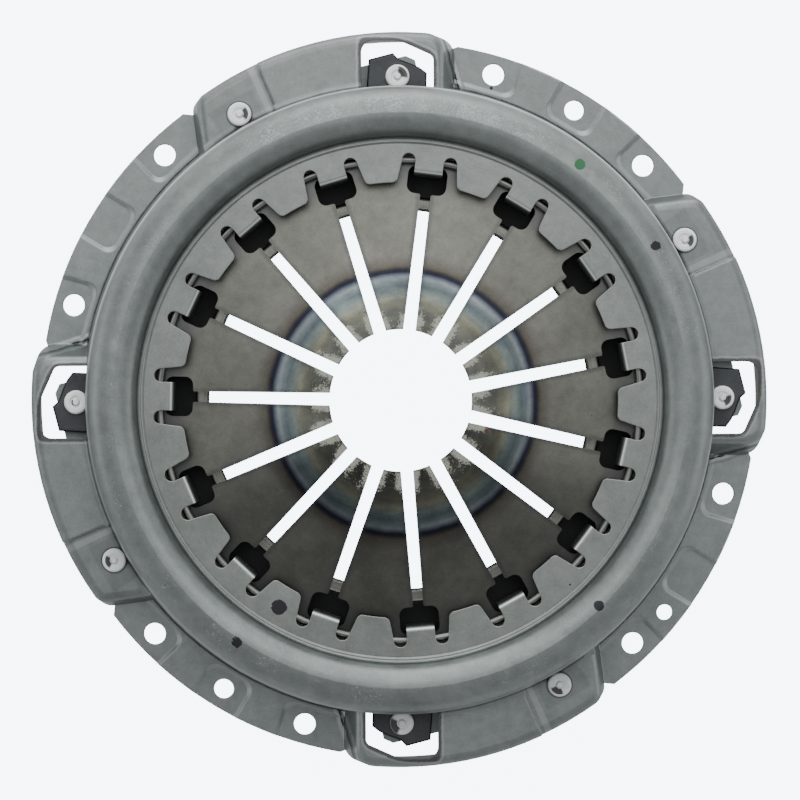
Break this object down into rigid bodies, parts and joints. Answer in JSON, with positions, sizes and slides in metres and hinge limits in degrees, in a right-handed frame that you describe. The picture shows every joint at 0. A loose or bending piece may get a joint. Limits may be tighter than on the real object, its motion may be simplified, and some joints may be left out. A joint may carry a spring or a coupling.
{
  "type": "clutch pressure plate",
  "caption": "Diaphragm-spring clutch cover: pressed steel cover bolted to the flywheel, slotted spring on wire rings, and a lugged iron plate on leaf straps.",
  "frame": {"origin": "centre of the flange's seat on the flywheel, at the level of the bolt seats' underside", "axes": "+Z along the clutch axis towards the gearbox, +X out through a driving lug in the picture's right, +Y towards the picture's top"},
  "size_m": [0.372, 0.372, 0.055],
  "materials": {
    "cover_steel": "satin phosphated and oiled pressed steel",
    "spring_steel": "tempered spring steel with heat tints",
    "wire_steel": "drawn wire",
    "cast_iron": "dark as-cast iron with a turned friction face",
    "strap_steel": "rolled spring strip",
    "rivet_zinc": "bright zinc plate"
  },
  "bodies": {
    "cover": {"cover": "cover_steel", "diaphragm_spring": "spring_steel", "upper_pivot_ring": "wire_steel", "lower_pivot_ring": "wire_steel", "cover_rivet_1": "rivet_zinc", "cover_rivet_2": "rivet_zinc", "cover_rivet_3": "rivet_zinc", "cover_rivet_4": "rivet_zinc", "strap_1_top_leaf": "strap_steel", "strap_1_middle_leaf": "strap_steel", "strap_1_bottom_leaf": "strap_steel", "strap_2_top_leaf": "strap_steel", "strap_2_middle_leaf": "strap_steel", "strap_2_bottom_leaf": "strap_steel", "strap_3_top_leaf": "strap_steel", "strap_3_middle_leaf": "strap_steel", "strap_3_bottom_leaf": "strap_steel", "strap_4_top_leaf": "strap_steel", "strap_4_middle_leaf": "strap_steel", "strap_4_bottom_leaf": "strap_steel"},
    "pressure_plate": {"pressure_plate": "cast_iron", "lug_rivet_1": "rivet_zinc", "lug_rivet_2": "rivet_zinc", "lug_rivet_3": "rivet_zinc", "lug_rivet_4": "rivet_zinc"}
  },
  "joints": [
    {"name": "plate_lift", "type": "slide", "parent": "cover", "child": "pressure_plate", "axis": [0, 0, 1], "range_m": [0, 0.0055], "stiffness_N_per_m": 1000000, "deforming": ["diaphragm_spring", "strap_1_top_leaf", "strap_1_middle_leaf", "strap_1_bottom_leaf", "strap_2_top_leaf", "strap_2_middle_leaf", "strap_2_bottom_leaf", "strap_3_top_leaf", "strap_3_middle_leaf", "strap_3_bottom_leaf", "strap_4_top_leaf", "strap_4_middle_leaf", "strap_4_bottom_leaf"]}
  ]
}
